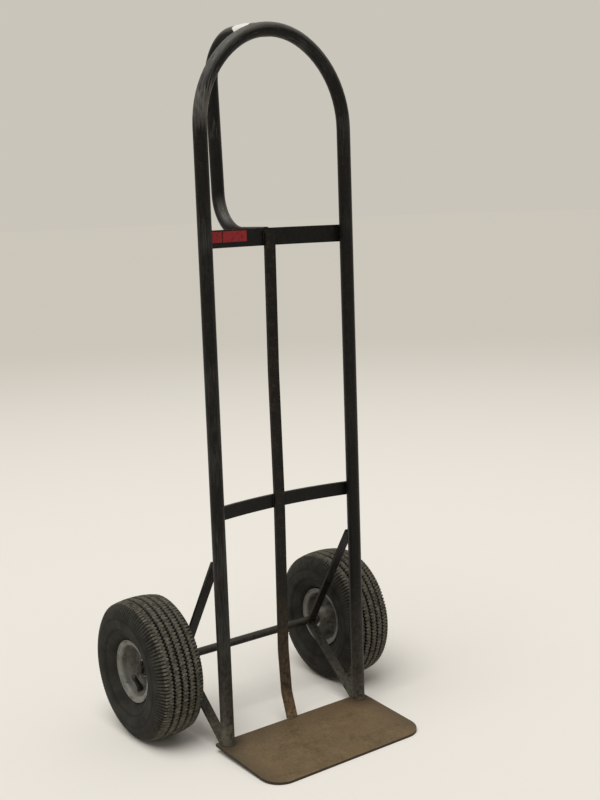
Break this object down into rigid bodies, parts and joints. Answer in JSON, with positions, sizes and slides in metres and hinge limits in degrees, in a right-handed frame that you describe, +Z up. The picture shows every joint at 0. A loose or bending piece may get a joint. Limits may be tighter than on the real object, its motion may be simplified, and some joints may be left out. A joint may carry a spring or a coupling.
{
  "type": "hand truck",
  "caption": "Upright tubular hand truck with an arched frame, a loop grip behind the arch, bowed crossbars, a centre strap, a flat toe plate and pneumatic wheels on V brackets.",
  "frame": {"origin": "on the floor, at the middle of the truck's footprint", "axes": "+Z up along the rails, -Y towards the load side and the toe plate, X along the axle"},
  "size_m": [0.5558, 0.473, 1.3262],
  "materials": {
    "frame_paint": "worn black paint with grey scuffs and rust",
    "plate_steel": "bare rusted steel with traces of paint",
    "axle_steel": "plain steel",
    "tyre": "dusty black rubber",
    "tube_rubber": "butyl rubber",
    "rim_paint": "grey paint with rust stains",
    "hub_steel": "grey paint",
    "valve_rubber": "moulded rubber over a metal stem",
    "cap_plastic": "plain plastic",
    "seal_rubber": "moulded rubber",
    "bearing_steel": "ground steel"
  },
  "bodies": {
    "frame": {"axle": "axle_steel", "axle_washers": "axle_steel", "centre_strap": "frame_paint", "cotter_pins": "axle_steel", "left_axle_bracket": "frame_paint", "left_axle_spacer": "axle_steel", "left_inner_bearing_inner_race": "bearing_steel", "left_outer_bearing_inner_race": "bearing_steel", "loop_handle_tube": "frame_paint", "lower_crossbar": "frame_paint", "main_frame_tube": "frame_paint", "right_axle_bracket": "frame_paint", "right_axle_spacer": "axle_steel", "right_inner_bearing_inner_race": "bearing_steel", "right_outer_bearing_inner_race": "bearing_steel", "toe_plate": "plate_steel", "upper_crossbar": "frame_paint"},
    "left_wheel": {"left_hub": "hub_steel", "left_inner_bearing_balls": "bearing_steel", "left_inner_bearing_cage": "bearing_steel", "left_inner_bearing_outer_race": "bearing_steel", "left_inner_bearing_seals": "seal_rubber", "left_inner_tube": "tube_rubber", "left_outer_bearing_balls": "bearing_steel", "left_outer_bearing_cage": "bearing_steel", "left_outer_bearing_outer_race": "bearing_steel", "left_outer_bearing_seals": "seal_rubber", "left_rim_inner_half": "rim_paint", "left_rim_outer_half": "rim_paint", "left_tyre": "tyre", "left_valve_cap": "cap_plastic", "left_valve_stem": "valve_rubber"},
    "right_wheel": {"right_hub": "hub_steel", "right_inner_bearing_balls": "bearing_steel", "right_inner_bearing_cage": "bearing_steel", "right_inner_bearing_outer_race": "bearing_steel", "right_inner_bearing_seals": "seal_rubber", "right_inner_tube": "tube_rubber", "right_outer_bearing_balls": "bearing_steel", "right_outer_bearing_cage": "bearing_steel", "right_outer_bearing_outer_race": "bearing_steel", "right_outer_bearing_seals": "seal_rubber", "right_rim_inner_half": "rim_paint", "right_rim_outer_half": "rim_paint", "right_tyre": "tyre", "right_valve_cap": "cap_plastic", "right_valve_stem": "valve_rubber"}
  },
  "joints": [
    {"name": "left_wheel_spin", "type": "hinge", "parent": "frame", "child": "left_wheel", "pos_m": [-0.22587, 0.1005, 0.136], "axis": [1, 0, 0], "continuous": true},
    {"name": "right_wheel_spin", "type": "hinge", "parent": "frame", "child": "right_wheel", "pos_m": [0.22587, 0.1005, 0.136], "axis": [1, 0, 0], "continuous": true}
  ]
}
